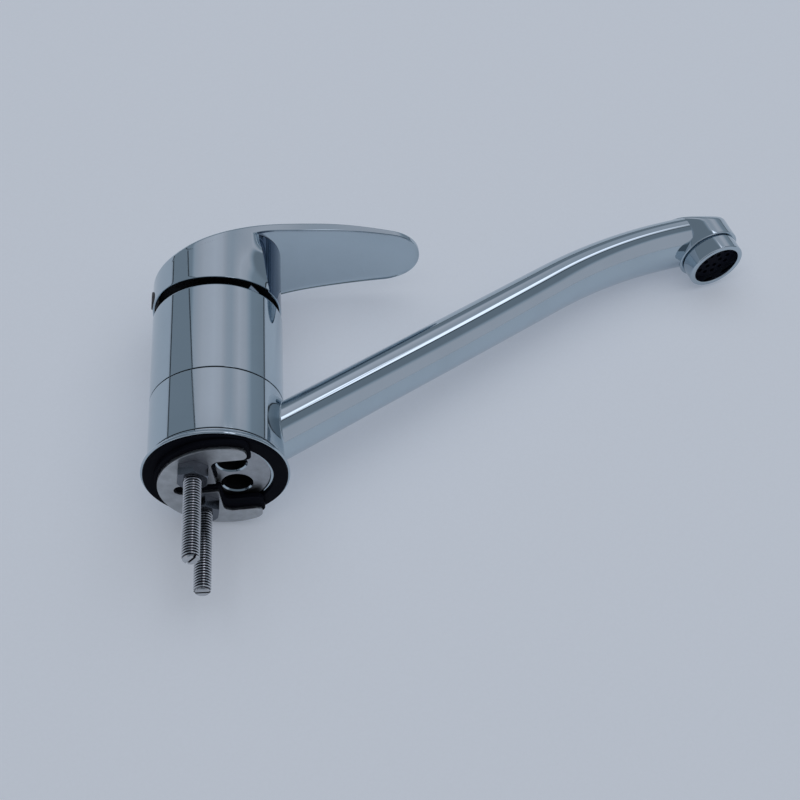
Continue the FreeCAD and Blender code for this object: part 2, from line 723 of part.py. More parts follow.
os.makedirs("parts", exist_ok=True)
for name, make in pieces.items():
    shape = make()
    shape.exportStep("parts/" + name + ".step")
    volume = shape.Volume / 1000
    print(f"{name:18s} solids {len(shape.Solids)} volume {volume:8.3f} cm3 valid {shape.isValid()}")
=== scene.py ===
import bpy
import bmesh
import math
import numpy as np
from mathutils import Matrix, Vector
from types import SimpleNamespace as Spec


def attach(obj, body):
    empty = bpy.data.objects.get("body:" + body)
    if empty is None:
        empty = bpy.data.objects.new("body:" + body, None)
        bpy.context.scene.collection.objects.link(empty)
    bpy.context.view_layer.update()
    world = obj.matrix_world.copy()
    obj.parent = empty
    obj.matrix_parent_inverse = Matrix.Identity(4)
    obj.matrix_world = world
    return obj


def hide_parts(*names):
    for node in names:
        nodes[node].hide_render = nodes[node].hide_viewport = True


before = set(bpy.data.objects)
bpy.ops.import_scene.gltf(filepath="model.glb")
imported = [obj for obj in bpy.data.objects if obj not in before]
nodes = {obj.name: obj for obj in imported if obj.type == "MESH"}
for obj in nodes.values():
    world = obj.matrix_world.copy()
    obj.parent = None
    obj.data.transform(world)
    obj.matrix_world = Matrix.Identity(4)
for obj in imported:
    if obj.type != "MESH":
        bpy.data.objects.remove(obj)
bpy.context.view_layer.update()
scene = bpy.context.scene

mm = 0.001
origin = (0, 0, 0)
zAxis = Vector((0, 0, 1))
mergeGap = 1e-4      # points closer than this become one
sameSpot = 1e-3      # points closer than this count as one
smoothLimit = 32.0   # edges that turn by more degrees are kept sharp


# tools for shapes; all sizes are in millimetres until finishPiece


def spline(points, startSlope=None, endSlope=None):
    # smooth line through (x, z) points, free or with given slopes at its ends
    x = np.array([p[0] for p in points], float)
    z = np.array([p[1] for p in points], float)
    n = len(x)
    h = np.diff(x)
    a, b = np.zeros((n, n)), np.zeros(n)
    for i in range(1, n - 1):
        a[i, i - 1:i + 2] = h[i - 1], 2 * (h[i - 1] + h[i]), h[i]
        b[i] = 6 * ((z[i + 1] - z[i]) / h[i] - (z[i] - z[i - 1]) / h[i - 1])
    a[0, 0] = a[-1, -1] = 1
    if startSlope is not None:
        a[0, :2] = 2 * h[0], h[0]
        b[0] = 6 * ((z[1] - z[0]) / h[0] - startSlope)
    if endSlope is not None:
        a[-1, -2:] = h[-1], 2 * h[-1]
        b[-1] = 6 * (endSlope - (z[-1] - z[-2]) / h[-1])
    m = np.linalg.solve(a, b)

    def at(q):
        q = min(max(q, x[0]), x[-1])
        i = min(max(int(np.searchsorted(x, q)) - 1, 0), n - 2)
        u, v = x[i + 1] - q, q - x[i]
        return float((m[i] * u ** 3 + m[i + 1] * v ** 3) / (6 * h[i])
                     + (z[i] / h[i] - m[i] * h[i] / 6) * u + (z[i + 1] / h[i] - m[i + 1] * h[i] / 6) * v)

    return at


def blendShare(value, low, high):
    # 0 below low, 1 above high, and a smooth step between
    t = min(max((value - low) / (high - low), 0.0), 1.0)
    return t * t * (3 - 2 * t)


def roundedPoint(start, corner, end, t):
    # a point on the round that leads from start to end and leans on the corner
    return start * (1 - t) ** 2 + corner * 2 * t * (1 - t) + end * t * t


def easeEdges(bm, edges, size, segments):
    bmesh.ops.bevel(bm, geom=edges, offset=size, offset_type="OFFSET", segments=segments, profile=0.5,
                    affect="EDGES", clamp_overlap=True, material=-1)


def hardEdges(bm, angle):
    return [e for e in bm.edges if len(e.link_faces) == 2 and e.calc_face_angle(0.0) > math.radians(angle)]


def lathe(profile, steps=160, rounds=None, place=None):
    # turns an open or closed outline of (radius, height) about Z; rounds is {corner: (size, segments)}
    bm = bmesh.new()
    line = [bm.verts.new((r, 0, z)) for r, z in profile]
    for first, second in zip(line, line[1:]):
        bm.edges.new((first, second))
    if profile[0][0] > 0 or profile[-1][0] > 0:
        bm.edges.new((line[-1], line[0]))
    bmesh.ops.spin(bm, geom=bm.verts[:] + bm.edges[:], cent=origin, axis=zAxis, angle=2 * math.pi,
                   steps=steps, use_merge=True, use_duplicate=False)
    bmesh.ops.remove_doubles(bm, verts=bm.verts[:], dist=mergeGap)
    bmesh.ops.recalc_face_normals(bm, faces=bm.faces[:])
    for corner, (size, segments) in (rounds or {}).items():
        r, z = profile[corner]
        rim = [e for e in bm.edges
               if all(math.dist((v.co.xy.length, v.co.z), (r, z)) < sameSpot for v in e.verts)]
        easeEdges(bm, rim, size, segments)
    if place is not None:
        bmesh.ops.transform(bm, matrix=place, verts=bm.verts[:])
    return bm


def loopShape(loops, capFirst=False, capLast=False):
    # a skin swept from one loop to the next, each with as many points
    bm = bmesh.new()
    current = bmesh.ops.create_circle(bm, segments=len(loops[0]), radius=5.0)["verts"]
    edges = firstEdges = bm.edges[:]
    for vert, point in zip(current, loops[0]):
        vert.co = point
    for points in loops[1:]:
        out = bmesh.ops.extrude_edge_only(bm, edges=edges)["geom"]
        fresh = {g for g in out if isinstance(g, bmesh.types.BMVert)}
        edges = [g for g in out if isinstance(g, bmesh.types.BMEdge) and all(v in fresh for v in g.verts)]
        partner = {edge.other_vert(vert): vert for vert in fresh for edge in vert.link_edges}
        current = [partner[vert] for vert in current]
        for vert, point in zip(current, points):
            vert.co = point
    if capFirst:
        bmesh.ops.contextual_create(bm, geom=firstEdges)
    if capLast:
        bmesh.ops.contextual_create(bm, geom=edges)
    bmesh.ops.recalc_face_normals(bm, faces=bm.faces[:])
    return bm


def meshOf(bm, name):
    mesh = bpy.data.meshes.new(name)
    bm.to_mesh(mesh)
    bm.free()
    return mesh


def newObject(name, data):
    thing = bpy.data.objects.new(name, data)
    scene.collection.objects.link(thing)
    return thing


def joined(parts):
    # several shapes as one
    whole = bmesh.new()
    for bm in parts:
        mesh = meshOf(bm, "part")
        whole.from_mesh(mesh)
        bpy.data.meshes.remove(mesh)
    return whole


def markSharp(bm, smoothAngle):
    limit = math.radians(smoothAngle)
    for face in bm.faces:
        face.smooth = True
    for edge in bm.edges:
        edge.smooth = len(edge.link_faces) == 2 and edge.calc_face_angle(0.0) < limit


def evenOut(piece):
    # large faces lead the normals, so that reflections run smoothly past small ones
    flow = piece.modifiers.new("flow", "WEIGHTED_NORMAL")
    flow.weight = 90
    flow.keep_sharp = True


def finishPiece(bm, name, body, material, replaced=(), smoothAngle=smoothLimit):
    # puts a finished shape into the scene, in metres, riding on its body
    bmesh.ops.scale(bm, vec=(mm, mm, mm), verts=bm.verts[:])
    markSharp(bm, smoothAngle)
    piece = newObject(name, meshOf(bm, name))
    piece.data.materials.append(material)
    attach(piece, body)
    if replaced:
        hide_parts(*replaced)
    evenOut(piece)
    return piece


def cutWith(piece, cutter):
    # takes the cutter's shape out of a finished piece
    bmesh.ops.scale(cutter, vec=(mm, mm, mm), verts=cutter.verts[:])
    tool = newObject("cutter", meshOf(cutter, "cutter"))
    piece.modifiers.clear()
    change = piece.modifiers.new("cut", "BOOLEAN")
    change.operation = "DIFFERENCE"
    change.solver = "EXACT"
    change.object = tool
    bpy.context.view_layer.update()
    shaped = bpy.data.meshes.new_from_object(piece.evaluated_get(bpy.context.evaluated_depsgraph_get()))
    piece.modifiers.clear()
    piece.data = shaped
    bpy.data.objects.remove(tool)
    bm = bmesh.new()
    bm.from_mesh(shaped)
    markSharp(bm, smoothLimit)
    bm.to_mesh(shaped)
    bm.free()
    evenOut(piece)


def flatten(bm):
    bmesh.ops.dissolve_limit(bm, angle_limit=math.radians(1.0), verts=bm.verts[:], edges=bm.edges[:])


def fromNode(node, edgeSize=0.0):
    # a merged copy of a CAD node's mesh in millimetres, with its hard edges eased
    bm = bmesh.new()
    bm.from_mesh(nodes[node].data)
    bmesh.ops.scale(bm, vec=(1 / mm, 1 / mm, 1 / mm), verts=bm.verts[:])
    bmesh.ops.remove_doubles(bm, verts=bm.verts[:], dist=sameSpot)
    if edgeSize:
        flatten(bm)
        easeEdges(bm, hardEdges(bm, 40), edgeSize, 2)
    return bm


# tools for materials


def join(source, target):
    # feeds a socket from another one, or sets it to a plain value
    if isinstance(source, bpy.types.NodeSocket):
        target.id_data.links.new(source, target)
    else:
        target.default_value = source


def addNode(tree, kind, inputs=None, **settings):
    node = tree.nodes.new(kind)
    for key, value in settings.items():
        setattr(node, key, value)
    for key, value in (inputs or {}).items():
        join(value, node.inputs[key])
    return node


def worked(operation, first, second=0.0):
    return addNode(first.id_data, "ShaderNodeMath", {0: first, 1: second}, operation=operation).outputs[0]


def ranged(value, low, high, start=0.0, end=1.0, curve="LINEAR"):
    inputs = {"Value": value, "From Min": low, "From Max": high, "To Min": start, "To Max": end}
    return addNode(value.id_data, "ShaderNodeMapRange", inputs, interpolation_type=curve).outputs["Result"]


def rising(value, low, high, start=0.0, end=1.0):
    return ranged(value, low, high, start, end, "SMOOTHSTEP")


def ramped(source, stops):
    # a colour ramp through (place, colour) stops
    node = addNode(source.id_data, "ShaderNodeValToRGB", {"Fac": source})
    elements = node.color_ramp.elements
    for k, (place, color) in enumerate(stops):
        element = elements[k] if k < 2 else elements.new(1.0)
        element.position = place
        element.color = (*color, 1)
    return node.outputs["Color"]


def noiseOf(tree, scale, detail=3.0, roughness=0.5):
    # noise on the piece's own place; scale is in cells per metre
    place = addNode(tree, "ShaderNodeTexCoord").outputs["Object"]
    inputs = {"Vector": place, "Scale": scale, "Detail": detail, "Roughness": roughness}
    return addNode(tree, "ShaderNodeTexNoise", inputs).outputs["Fac"]


def bumped(source, shader, strength, distance):
    inputs = {"Height": source, "Strength": strength, "Distance": distance}
    join(addNode(source.id_data, "ShaderNodeBump", inputs).outputs["Normal"], shader.inputs["Normal"])


def newFinish(name, color, roughness, metallic=0.0):
    material = bpy.data.materials.new(name)
    material.use_nodes = True
    shader = material.node_tree.nodes["Principled BSDF"]
    shader.inputs["Base Color"].default_value = (*color, 1)
    shader.inputs["Roughness"].default_value = roughness
    shader.inputs["Metallic"].default_value = metallic
    return material, material.node_tree, shader


def shaded(color, share):
    return tuple(min(1.0, share * c) for c in color)


# materials

chromeLook = dict(color=(0.465, 0.55, 0.61), rough=(0.03, 0.07), smudge=70.0, ripple=420.0)
matteLook = dict(rough=(0.4, 0.55), grain=3000.0, depth=0.00001, patch=150.0, shine=0.5)
metalLook = dict(rough=(0.25, 0.4), grain=900.0, depth=0.00003, clouds=260.0)


def chromeFinish(name, **changes):
    # bright plate: faint wiping marks in the gloss and a very shallow waviness
    look = dict(chromeLook, **changes)
    material, tree, shader = newFinish(name, look["color"], look["rough"][0], 1.0)
    marks = noiseOf(tree, look["smudge"], 5.0, 0.6)
    join(ranged(marks, 0.42, 0.7, *look["rough"]), shader.inputs["Roughness"])
    wiped = ramped(marks, [(0.45, look["color"]), (0.75, shaded(look["color"], 0.96))])
    join(wiped, shader.inputs["Base Color"])
    bumped(noiseOf(tree, look["ripple"], 2.0), shader, 0.05, 0.00002)
    return material


def matteFinish(name, color, **changes):
    # moulded rubber and plastics: fine grain, slightly uneven gloss and colour
    look = dict(matteLook, **changes)
    material, tree, shader = newFinish(name, color, look["rough"][0])
    shader.inputs["Specular IOR Level"].default_value = look["shine"]
    patches = noiseOf(tree, look["patch"], 4.0)
    join(ranged(patches, 0.3, 0.7, *look["rough"]), shader.inputs["Roughness"])
    lighter = tuple(min(1.0, 1.3 * c + 0.001) for c in color)
    join(ramped(patches, [(0.3, color), (0.7, lighter)]), shader.inputs["Base Color"])
    bumped(noiseOf(tree, look["grain"], 3.0), shader, 0.5, look["depth"])
    return material


def metalFinish(name, color, **changes):
    # plated or turned steel and brass: cloudy plating over fine marks
    look = dict(metalLook, **changes)
    material, tree, shader = newFinish(name, color, look["rough"][0], 1.0)
    clouds = noiseOf(tree, look["clouds"], 5.0, 0.6)
    plated = ramped(clouds, [(0.3, shaded(color, 0.82)), (0.7, shaded(color, 1.1))])
    join(plated, shader.inputs["Base Color"])
    marks = noiseOf(tree, look["grain"], 4.0, 0.65)
    join(ranged(marks, 0.3, 0.7, *look["rough"]), shader.inputs["Roughness"])
    bumped(marks, shader, 0.35, look["depth"])
    return material


chrome = chromeFinish("chromePlate")
leverChrome = chromeFinish("leverChromePlate", smudge=55.0)
# painted shade: a dark blue chrome for the lever's front wall, standing in for the dark reflection that wall
# shows
paintedShadeChrome = chromeFinish("paintedShadeChromePlate", color=(0.12, 0.165, 0.235))
rubber = matteFinish("blackRubber", (0.0028, 0.0034, 0.0066), rough=(0.5, 0.68), grain=5200.0, depth=0.00003,
                     shine=0.03)
# painted shade: a black plastic for the nut cover, so that the gap between lever and body shows black
gapShadePlastic = matteFinish("gapShadePlastic", (0.004, 0.004, 0.005), rough=(0.45, 0.6), grain=3800.0,
                           depth=0.00002)
capPlastic = matteFinish("capPlastic", (0.05, 0.05, 0.056), rough=(0.3, 0.42))
insertPlastic = matteFinish("insertPlastic", (0.003, 0.0035, 0.009), rough=(0.45, 0.6), shine=0.03)
whitePlastic = matteFinish("whitePlastic", (0.62, 0.62, 0.59), rough=(0.42, 0.55), grain=2600.0,
                           depth=0.00002)
slipPlastic = matteFinish("slipPlastic", (0.012, 0.013, 0.016), rough=(0.4, 0.5), shine=0.2)
stemPlastic = matteFinish("stemPlastic", (0.05, 0.05, 0.06), grain=2600.0, depth=0.00002)
ceramic = matteFinish("ceramic", (0.75, 0.74, 0.71), rough=(0.16, 0.25), grain=900.0, depth=0.000004)
plateSteel = metalFinish("pressedSteel", (0.46, 0.48, 0.50), rough=(0.28, 0.42), depth=0.00001)
# painted shade: near-black brass for the walls inside the holes under the body
holeShadeBrass = metalFinish("holeShadeBrass", (0.035, 0.036, 0.04), rough=(0.5, 0.7))
zincSteel = metalFinish("zincSteel", (0.62, 0.64, 0.67), rough=(0.13, 0.24), grain=1400.0, depth=0.000006)
nutSteel = metalFinish("darkZincSteel", (0.15, 0.165, 0.19), rough=(0.16, 0.28), grain=1100.0, depth=0.000006)
plainSteel = metalFinish("plainSteel", (0.5, 0.51, 0.53))
brass = metalFinish("brass", (0.72, 0.53, 0.24), rough=(0.24, 0.4), grain=1200.0, depth=0.00002)
castBrass = metalFinish("paleCasting", (0.40, 0.42, 0.45), rough=(0.3, 0.5), grain=800.0, depth=0.00005)
# the lever's unplated inside, painted near black: bare casting and painted shade in the hollow in one
bareShadedZinc = metalFinish("bareShadedZincCasting", (0.05, 0.052, 0.056), rough=(0.5, 0.7), grain=700.0, depth=0.00006)
print("materials ready")


# body, base flange and gasket

body = Spec(radius=23.0, bottom=29.4, top=65.4, rim=1.0, stem=18.5, foot=1.2, cavity=17.6, floor=33.0,
            nutBore=18.9, shoulder=55.6, turn=-14.0, inlets=(6.4, 6.05), inletRadius=4.85, inletDepth=10.0,
            mouthRadius=5.4, mouthDepth=0.4, boreRadius=3.0, boreDepth=25.0, studs=(-5.7, 10.4), studHole=3.0,
            studHoleTop=12.2, castFace=(18.3, 1.9), boreZone=(16.5, 1.7, 28.0))
sides = (-1, 1)


def turnedPlace(x, y):
    # the fixings and inlets are turned a little about the body's axis
    angle = math.radians(body.turn)
    return x * math.cos(angle) - y * math.sin(angle), x * math.sin(angle) + y * math.cos(angle)


def studPlace(side):
    return turnedPlace(body.studs[0], side * body.studs[1])


shell = lathe([(0, body.foot), (body.stem, body.foot), (body.stem, body.bottom),
               (body.radius, body.bottom), (body.radius, body.top),
               (body.nutBore, body.top), (body.nutBore, body.shoulder),
               (body.cavity, body.shoulder), (body.cavity, body.floor), (0, body.floor)],
              steps=192, rounds={1: (0.4, 2), 3: (0.15, 2), 4: (body.rim, 6), 5: (0.25, 2)})
bodyPiece = finishPiece(shell, "bodyShell", "body", chrome, ["body_casting"])
low = body.foot
inletHole = [(0, low - 2), (body.mouthRadius + 0.4, low - 2), (body.mouthRadius, low),
             (body.inletRadius, low + body.mouthDepth), (body.inletRadius, low + body.inletDepth),
             (body.boreRadius, low + body.inletDepth + 0.6),
             (body.boreRadius, low + body.boreDepth), (0, low + body.boreDepth)]
studHole = [(0, low - 2), (body.studHole, low - 2), (body.studHole, body.studHoleTop),
            (0, body.studHoleTop)]
for side in sides:
    x, y = turnedPlace(body.inlets[0], side * body.inlets[1])
    cutWith(bodyPiece, lathe(inletHole, steps=64, place=Matrix.Translation((x, y, 0))))
    cutWith(bodyPiece, lathe(studHole, steps=48, place=Matrix.Translation((*studPlace(side), 0))))
bodyPiece.data.materials.append(castBrass)
bodyPiece.data.materials.append(holeShadeBrass)
for face in bodyPiece.data.polygons:
    height, reach = face.center.z / mm, face.center.xy.length / mm
    onFoot = height < body.castFace[1] and reach < body.castFace[0] and abs(face.normal.z) > 0.9
    # painted shade: faces inside the inlet and stud holes get the near-black brass
    inBore = body.boreZone[1] < height < body.boreZone[2] and reach < body.boreZone[0]
    face.material_index = 2 if inBore else int(onFoot)
print("body done")

flange = Spec(radius=25.0, low=0.9, lip=1.1, top=4.2, inner=18.55, shoulder=(23.9, 3.2), seat=(23.0, 3.3),
              grooveOut=24.35, grooveIn=19.35, grooveTop=2.0)
ringShape = lathe([(flange.inner, flange.low), (flange.grooveIn, flange.low),
                   (flange.grooveIn, flange.grooveTop), (flange.grooveOut, flange.grooveTop),
                   (flange.grooveOut, flange.low), (flange.radius, flange.low),
                   (flange.radius, flange.low + flange.lip), flange.shoulder, flange.seat,
                   (flange.seat[0], flange.top), (flange.inner, flange.top)], steps=224,
                  rounds={5: (0.22, 3), 6: (0.45, 4), 7: (0.05, 1)})
finishPiece(ringShape, "baseFlange", "body", chrome, ["base_flange"])

gasket = Spec(inner=19.4, outer=24.3, height=1.95, ease=0.35)
sealShape = lathe([(gasket.inner, 0), (gasket.outer, 0), (gasket.outer, gasket.height),
                   (gasket.inner, gasket.height)],
                  rounds={0: (gasket.ease, 3), 1: (gasket.ease, 3)})
finishPiece(sealShape, "baseGasket", "body", rubber, ["base_gasket"])
print("base done")


# spout: swivel ring, tube and outlet head

spout = Spec(ring=(4.6, 29.0), radius=23.0, bore=18.58, rise=35.1, rootZ=20.3, straightX=125.0, bend=205.0,
             turn=17.2, root=(10.5, 9.1), middle=(10.0, 8.9), tip=(11.4, 8.0), middleShare=0.6, fillet=0.7936,
             fade=(2.2, 0.4), bodyGap=0.3, topMargin=0.3, sunk=(0.4, 0.05), faint=0.02, leastLead=0.08,
             lead=1.2, settle=46.0, search=(5.0, 60.0), halvings=40, sides=112, stations=72)
rise = math.radians(spout.rise)
straightLength = spout.straightX / math.cos(rise)
spoutLength = straightLength + spout.bend * math.radians(spout.turn)
tubeAngles = [2 * math.pi * i / spout.sides for i in range(spout.sides)]


def tubeLine(distance):
    # x, z and slope of the tube's middle line, straight at first and then bending down
    run = min(distance, straightLength)
    slope = rise - max(0.0, distance - straightLength) / spout.bend
    x = run * math.cos(rise) + spout.bend * (math.sin(rise) - math.sin(slope))
    z = (spout.rootZ - spout.radius * math.tan(rise) + run * math.sin(rise)
         + spout.bend * (math.cos(slope) - math.cos(rise)))
    return x, z, slope


def tubeSize(distance):
    full = straightLength * spout.middleShare
    if distance < full:
        share, ends = blendShare(distance, 0.0, full), (spout.root, spout.middle)
    else:
        share, ends = blendShare(distance, full, spoutLength), (spout.middle, spout.tip)
    return [a + (b - a) * share for a, b in zip(*ends)]


def tubePoint(distance, angle, grow=0.0):
    x, z, slope = tubeLine(distance)
    halfWidth, halfHeight = tubeSize(distance)
    lift = (halfHeight + grow) * math.sin(angle)
    y = (halfWidth + grow) * math.cos(angle)
    return Vector((x - lift * math.sin(slope), y, z + lift * math.cos(slope)))


def meetsRing(angle, radius):
    # distance along the tube at which its wall reaches the ring's cylinder
    low, high = spout.search
    for _ in range(spout.halvings):
        middle = (low + high) / 2
        if tubePoint(middle, angle).xy.length < radius:
            low = middle
        else:
            high = middle
    return low


def rootLoops():
    # loops from inside the ring, out over the small root fillet, and on to the tube
    ringTop, steps = spout.ring[1], 6
    deep, shallow = spout.sunk
    inside, under, rounds = [], [], [[] for _ in range(steps + 1)]
    for angle in tubeAngles:
        height = tubePoint(meetsRing(angle, spout.radius), angle).z
        share = 1 - blendShare(height, ringTop - spout.fade[0], ringTop - spout.fade[1])
        radius = spout.radius + (1 - share) * spout.bodyGap
        meet = meetsRing(angle, radius)
        size = spout.fillet * share
        corner, foot = tubePoint(meet, angle), tubePoint(meet, angle, size)
        foot = Vector((math.sqrt(max(radius ** 2 - foot.y ** 2, 0)), foot.y, min(foot.z, ringTop)))
        lead = tubePoint(meet + max(size, spout.leastLead), angle)
        outwards = Vector((foot.x, foot.y, 0)).normalized()
        low = min(foot.z, ringTop - spout.topMargin)
        inside.append(outwards * (radius - deep) + zAxis * low)
        under.append(outwards * (radius - shallow) + zAxis * (foot.z if share > spout.faint else low))
        for k, loop in enumerate(rounds):
            loop.append(roundedPoint(foot, corner, lead, k / steps))
    return [inside, under] + rounds


def tubeShape():
    loops = rootLoops()
    starts = [meetsRing(angle, spout.radius) + spout.lead for angle in tubeAngles]
    settle, steps, stations = spout.settle, 8, spout.stations
    for k in range(1, steps + 1):
        loops.append([tubePoint(start + (settle - start) * k / steps, angle)
                      for start, angle in zip(starts, tubeAngles)])
    for k in range(1, stations + 1):   # from settle on, each loop is square to the tube
        distance = settle + (spoutLength - settle) * k / stations
        loops.append([tubePoint(distance, angle) for angle in tubeAngles])
    return loopShape(loops, capLast=True)


outlet = Spec(tilt=20.4, groove=(190.6, 114.6), radius=12.3, rim=0.35, crown=(13.4, 8.8),
              crownLine=(186.5, 118.9), crownSlope=5.2, ease=1.52, bore=10.45, boreDepth=9.0, sides=160,
              rimShares=(0.0, 0.35, 0.75, 1.0), wallShares=(0.75, 0.5, 0.25),
              archShares=(0.22, 0.34, 0.46, 0.58, 0.70, 0.82, 0.93))


def leaning(angle):
    # the X and Z axes leaned by an angle about Y
    turn = math.radians(angle)
    return Vector((math.cos(turn), 0, math.sin(turn))), Vector((-math.sin(turn), 0, math.cos(turn)))


across, axis = leaning(outlet.tilt)
along, upright = leaning(outlet.crownSlope)
grooveMiddle = Vector((outlet.groove[0], 0, outlet.groove[1]))
archBase = Vector((outlet.crownLine[0], 0, outlet.crownLine[1]))


def outletLoop(radius, height):
    # a circle about the outlet's axis
    points = []
    for i in range(outlet.sides):
        angle = 2 * math.pi * i / outlet.sides
        spoke = (across * math.cos(angle) + Vector((0, 1, 0)) * math.sin(angle)) * radius
        points.append(grooveMiddle + axis * height + spoke)
    return points


def archLift(y):
    halfWidth, height = outlet.crown
    return height * math.sqrt(max(1 - (y / halfWidth) ** 2, 0))


def archPoint(x, y):
    # the arch over the head, above a point given in the arch line's own frame
    return archBase + along * x + upright * archLift(y) + Vector((0, y, 0))


def headShape():
    # the outlet's round wall, closed by the arch above it
    starts = outletLoop(outlet.radius, 0)
    corners = []
    for start in starts:
        rest = archLift(start.y) - (start - archBase).dot(upright)
        corners.append(start + axis * (rest / axis.dot(upright)))
    middle = sum(corners, Vector()) / len(corners)
    loops = [outletLoop(outlet.bore, outlet.boreDepth), outletLoop(outlet.bore, 0)]
    for share in outlet.rimShares:
        radius = outlet.radius - outlet.rim * (1 - share)
        loops.append(outletLoop(radius, outlet.rim * share * share))
    ease, roundSteps = outlet.ease, 7
    rows = []
    for start, corner in zip(starts, corners):
        wall = (corner - start).length
        x, y = (corner - archBase).dot(along), corner.y
        runX, runY = (middle - archBase).dot(along) - x, -y
        reach = math.hypot(runX, runY)

        def onArch(share):
            return archPoint(x + runX * share, y + runY * share)

        lower, upper = corner - axis * ease, onArch(ease / reach)
        row = [corner - axis * (wall * f) for f in outlet.wallShares if wall * f > ease * 1.15]
        row = row or [corner - axis * (ease * 1.2)] * 3
        while len(row) < 3:
            row.append(row[-1].lerp(lower, 0.4))
        row.extend(roundedPoint(lower, corner, upper, k / roundSteps) for k in range(roundSteps + 1))
        for share in outlet.archShares:
            row.append(onArch(max(share, ease / reach * 1.05 + share * 0.01)))
        rows.append(row)
    loops.extend([row[k] for row in rows] for k in range(len(rows[0])))
    bm = loopShape(loops, capFirst=True, capLast=True)
    capFaces = [face for face in bm.faces if face.calc_center_median().z > middle.z - 2]
    made = bmesh.ops.poke(bm, faces=[max(capFaces, key=lambda face: len(face.verts))])
    made["verts"][0].co = archPoint((middle - archBase).dot(along), 0)
    bmesh.ops.recalc_face_normals(bm, faces=bm.faces[:])
    return bm


low, high = spout.ring
collar = lathe([(spout.bore, low), (spout.radius, low), (spout.radius, high), (spout.bore, high)],
               steps=224, rounds={1: (0.2, 2), 2: (0.2, 2)})
finishPiece(joined([collar, tubeShape(), headShape()]), "spoutArm", "spout", chrome,
            ["spout_casting"])
print("spout done")

aerator = Spec(radius=11.2, collar=6.7, groove=0.4, thread=10.4, mouth=9.2, threadHeight=5.6)
outletPlace = Matrix.Translation(grooveMiddle) @ Matrix.Rotation(-math.radians(outlet.tilt), 4, "Y")
housing = lathe([(aerator.mouth, -aerator.collar), (aerator.radius, -aerator.collar),
                 (aerator.radius, -aerator.groove), (aerator.thread, -aerator.groove),
                 (aerator.thread, aerator.threadHeight), (aerator.mouth, aerator.threadHeight)],
                rounds={0: (0.35, 3), 1: (0.6, 4), 2: (0.25, 3)}, place=outletPlace)
finishPiece(housing, "aeratorHousing", "spout", chrome, ["aerator_housing"])
print("aerator done")


# lever

lever = Spec(radius=23.2, length=74.8, low=67.9, high=70.2, wall=1.5, ease=1.2, lip=0.4,
             sides=[(3.0, 23.005), (25, 18.4), (40, 16.3), (52, 14.6), (63, 12.8)], tipLead=6.5, tipHalf=7.0,
             crest=[(-28, 76.5), (-23.2, 81.4), (-17.6, 85.7), (-10.5, 90.8), (0, 96.2), (12, 99.8),
                    (25, 101.9), (40, 103.7), (55, 104.5), (68, 104.6), (82, 104.3)],
             crown=[(-28, 9.5), (2, 9.5), (12, 8.2), (25, 5.4), (40, 3.3), (60, 1.8), (82, 1.2)], reach=26.0,
             blade=[(8, 88.2), (10.7, 90.1), (12.4, 91.1), (15.3, 92.5), (20.5, 94.3), (28, 96.3), (40, 98.8),
                    (50, 100.3), (60, 101.3), (82, 102.3)], bladeStart=8.0, underBlend=(5.0, 10.0), roof=3.4,
             spine=(-9.0, 66.0), rimWidth=2.2, rimShare=0.19, rimDepth=0.8, rimBlend=(9.0, 13.0),
             frontRadius=22.6, flare=(70.0, 88.0), tuck=(83.5, 91.5), tuckFrom=10.4,
             crease=[(66, 17.4), (70, 16.64), (74, 15.88), (78, 15.12), (82, 14.38), (86, 13.68), (90, 13.4),
                     (94, 12.9)],
             hub=8.4, hubLow=69.0, hubTop=88.0, bareTop=93.0, sunk=(0.9, 0.85, 0.6),
             backSteps=56, sideSteps=46, tipSteps=26, split=0.72,
             underShares=(1.0, 0.86, 0.72, 0.58, 0.44, 0.31, 0.2), rimShares=(1.0, 0.8, 0.6, 0.4, 0.25),
             lipShares=(0.0, 0.33, 0.67, 1.0),
             # the skirt's inside as (height, room under the top, scale) and its foot as (lift, inset)
             dome=[(88.0, 5.0, 0.35), (87.0, 4.4, 0.6), (83.0, 3.6, 0.88), (80.0, 3.0, 1.0)],
             foot=[(1.9, 1.5), (0.6, 0.8), (0.15, 0.8), (0.0, 0.65), (0.0, 0.2), (0.06, 0.05), (0.2, 0.0)])
crestLine, crownLine, bladeLine = spline(lever.crest), spline(lever.crown), spline(lever.blade)
taper = (lever.sides[-1][1] - lever.sides[-2][1]) / (lever.sides[-1][0] - lever.sides[-2][0])
sideLine = spline(lever.sides, -lever.sides[0][0] / lever.sides[0][1], taper)
creaseX = spline(lever.crease)


def topHeight(x, y):
    # the top is crowned across, more at the back than at the tip
    crown = crownLine(x)
    radius = (lever.reach ** 2 + crown ** 2) / (2 * crown)
    return crestLine(x) - radius + math.sqrt(radius ** 2 - y * y)


def bladeHeight(x):
    return bladeLine(max(x, lever.bladeStart))


def underHeight(x, y):
    inside = topHeight(x, y) - lever.roof
    share = blendShare(x, *lever.underBlend)
    return inside * (1 - share) + bladeHeight(x) * share


def backArc(share):
    # plan place on the round back, from the rear to where the straight side leaves it
    leave = math.acos(lever.sides[0][0] / lever.radius)
    angle = math.pi + (leave - math.pi) * share
    return lever.radius * math.cos(angle), lever.radius * math.sin(angle)


